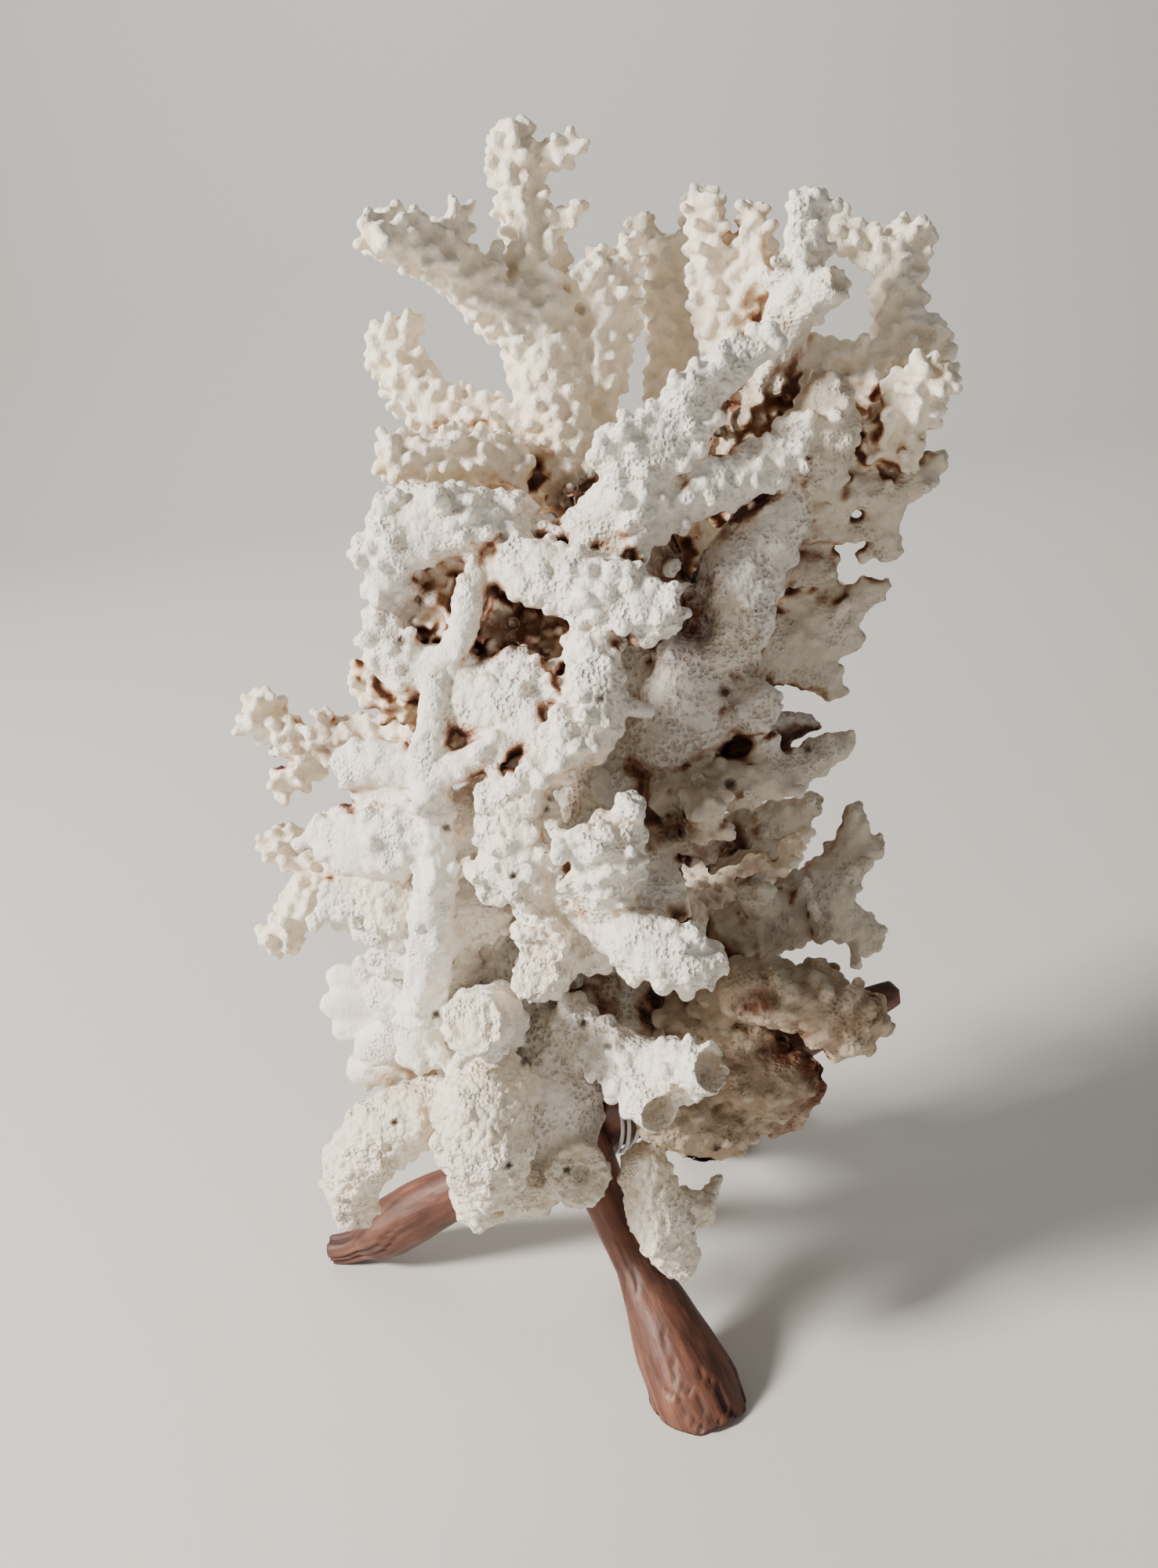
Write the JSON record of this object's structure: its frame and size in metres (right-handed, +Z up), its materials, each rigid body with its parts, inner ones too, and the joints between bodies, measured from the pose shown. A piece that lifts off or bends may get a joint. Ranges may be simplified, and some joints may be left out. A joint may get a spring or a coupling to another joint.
{
  "type": "branching coral on a stand",
  "caption": "Knobby, porous colony of branching coral that rests in a tripod of carved wooden legs lashed together where they cross.",
  "frame": {"origin": "middle of the object's bounding box, on the surface it stands on", "axes": "+Z up, -Y towards the front leg, +X to the right as seen from the front"},
  "size_m": [0.2076, 0.1734, 0.3363],
  "materials": {
    "coral_cream": "matt, slightly translucent mineral",
    "coral_white": "chalky, porous mineral",
    "coral_grey": "matt, porous mineral",
    "wood": "satin reddish brown",
    "line": "clear nylon line"
  },
  "bodies": {
    "root": {"leg_front": "wood", "leg_left": "wood", "leg_back": "wood", "lashing_front": "line", "lashing_back": "line", "trunk_low": "coral_white", "trunk_high": "coral_white", "trunk_right_plate": "coral_grey", "crown_spire": "coral_cream", "crown_left_arm": "coral_cream", "crown_low_arm": "coral_cream", "crown_middle_finger": "coral_cream", "crown_back_finger": "coral_cream", "shoulder_knobs": "coral_cream", "crown_fork": "coral_cream", "crown_white_finger": "coral_white", "crown_ring": "coral_cream", "right_club": "coral_cream", "right_round_club": "coral_grey", "right_tee": "coral_grey", "front_fork_left": "coral_white", "front_fork_right": "coral_white", "shoulder_left": "coral_white", "left_tip_high": "coral_cream", "centre_shelf": "coral_white", "left_loop": "coral_white", "left_inner_wall": "coral_cream", "knob_patch": "coral_white", "front_chain": "coral_white", "front_slab": "coral_white", "front_right_branch": "coral_white", "front_stub_lower": "coral_white", "left_far_arm": "coral_cream", "left_lattice": "coral_white", "left_mass_high": "coral_white", "left_mass_low": "coral_white", "left_back_arm": "coral_cream", "left_folds": "coral_cream", "right_fan": "coral_grey", "right_spur_high": "coral_grey", "right_finger": "coral_grey", "right_horn": "coral_grey", "right_low_lump": "coral_grey", "right_low_arm": "coral_grey", "right_low_mass": "coral_grey", "base_centre": "coral_white", "base_tubes": "coral_white", "hanging_lump": "coral_white", "front_lump": "coral_white", "low_left_branch": "coral_white", "back_crown_left": "coral_cream", "back_crown_right": "coral_cream", "back_upper_left": "coral_cream", "back_upper_right": "coral_cream", "back_middle": "coral_cream", "back_left": "coral_cream", "back_right": "coral_cream", "back_low_left": "coral_white", "back_low_right": "coral_white"}
  },
  "joints": []
}
